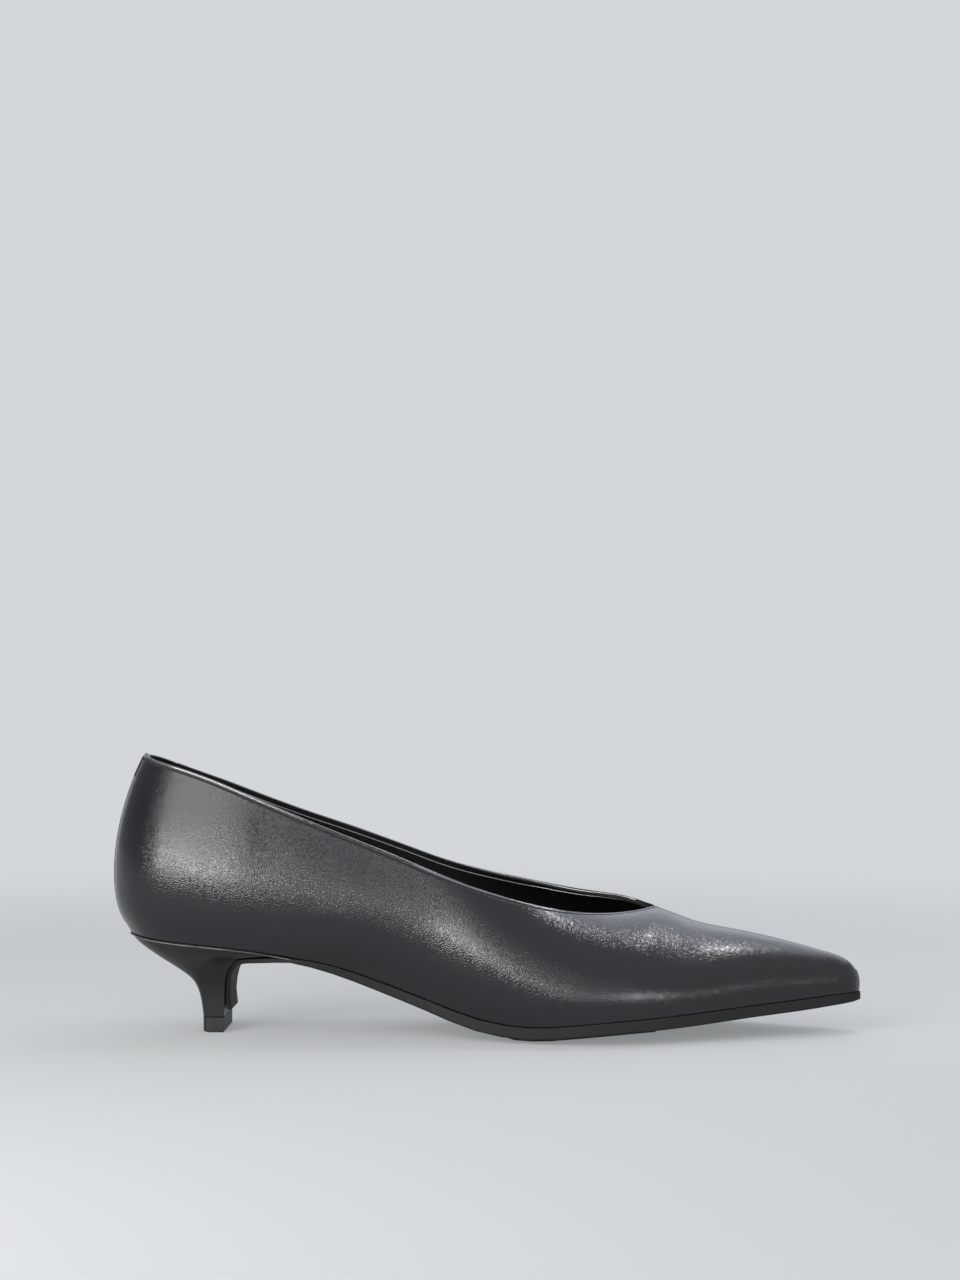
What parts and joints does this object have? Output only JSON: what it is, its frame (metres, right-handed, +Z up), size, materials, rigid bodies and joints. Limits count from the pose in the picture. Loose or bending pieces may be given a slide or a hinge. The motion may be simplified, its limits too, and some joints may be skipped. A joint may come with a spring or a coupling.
{
  "type": "kitten heel pump",
  "caption": "Right pointed-toe pump with a V-shaped throat, closed back and a low slim set-back heel, hollow inside, with thin sole, insole and heel tip.",
  "frame": {"origin": "centre of the shoe's box, on the floor that it stands on", "axes": "+X from heel to toe, +Y to the inner side, +Z up"},
  "size_m": [0.2628, 0.0754, 0.0966],
  "materials": {
    "upper": "smooth black leather with a fine grain and a soft gloss",
    "insole": "matt black lining leather",
    "outsole": "satin black sole with a dull tread patch",
    "heel": "satin black leather cover",
    "top_piece": "dull black plastic"
  },
  "bodies": {
    "root": {"upper": "upper", "insole": "insole", "outsole": "outsole", "heel": "heel", "top_piece": "top_piece"}
  },
  "joints": []
}
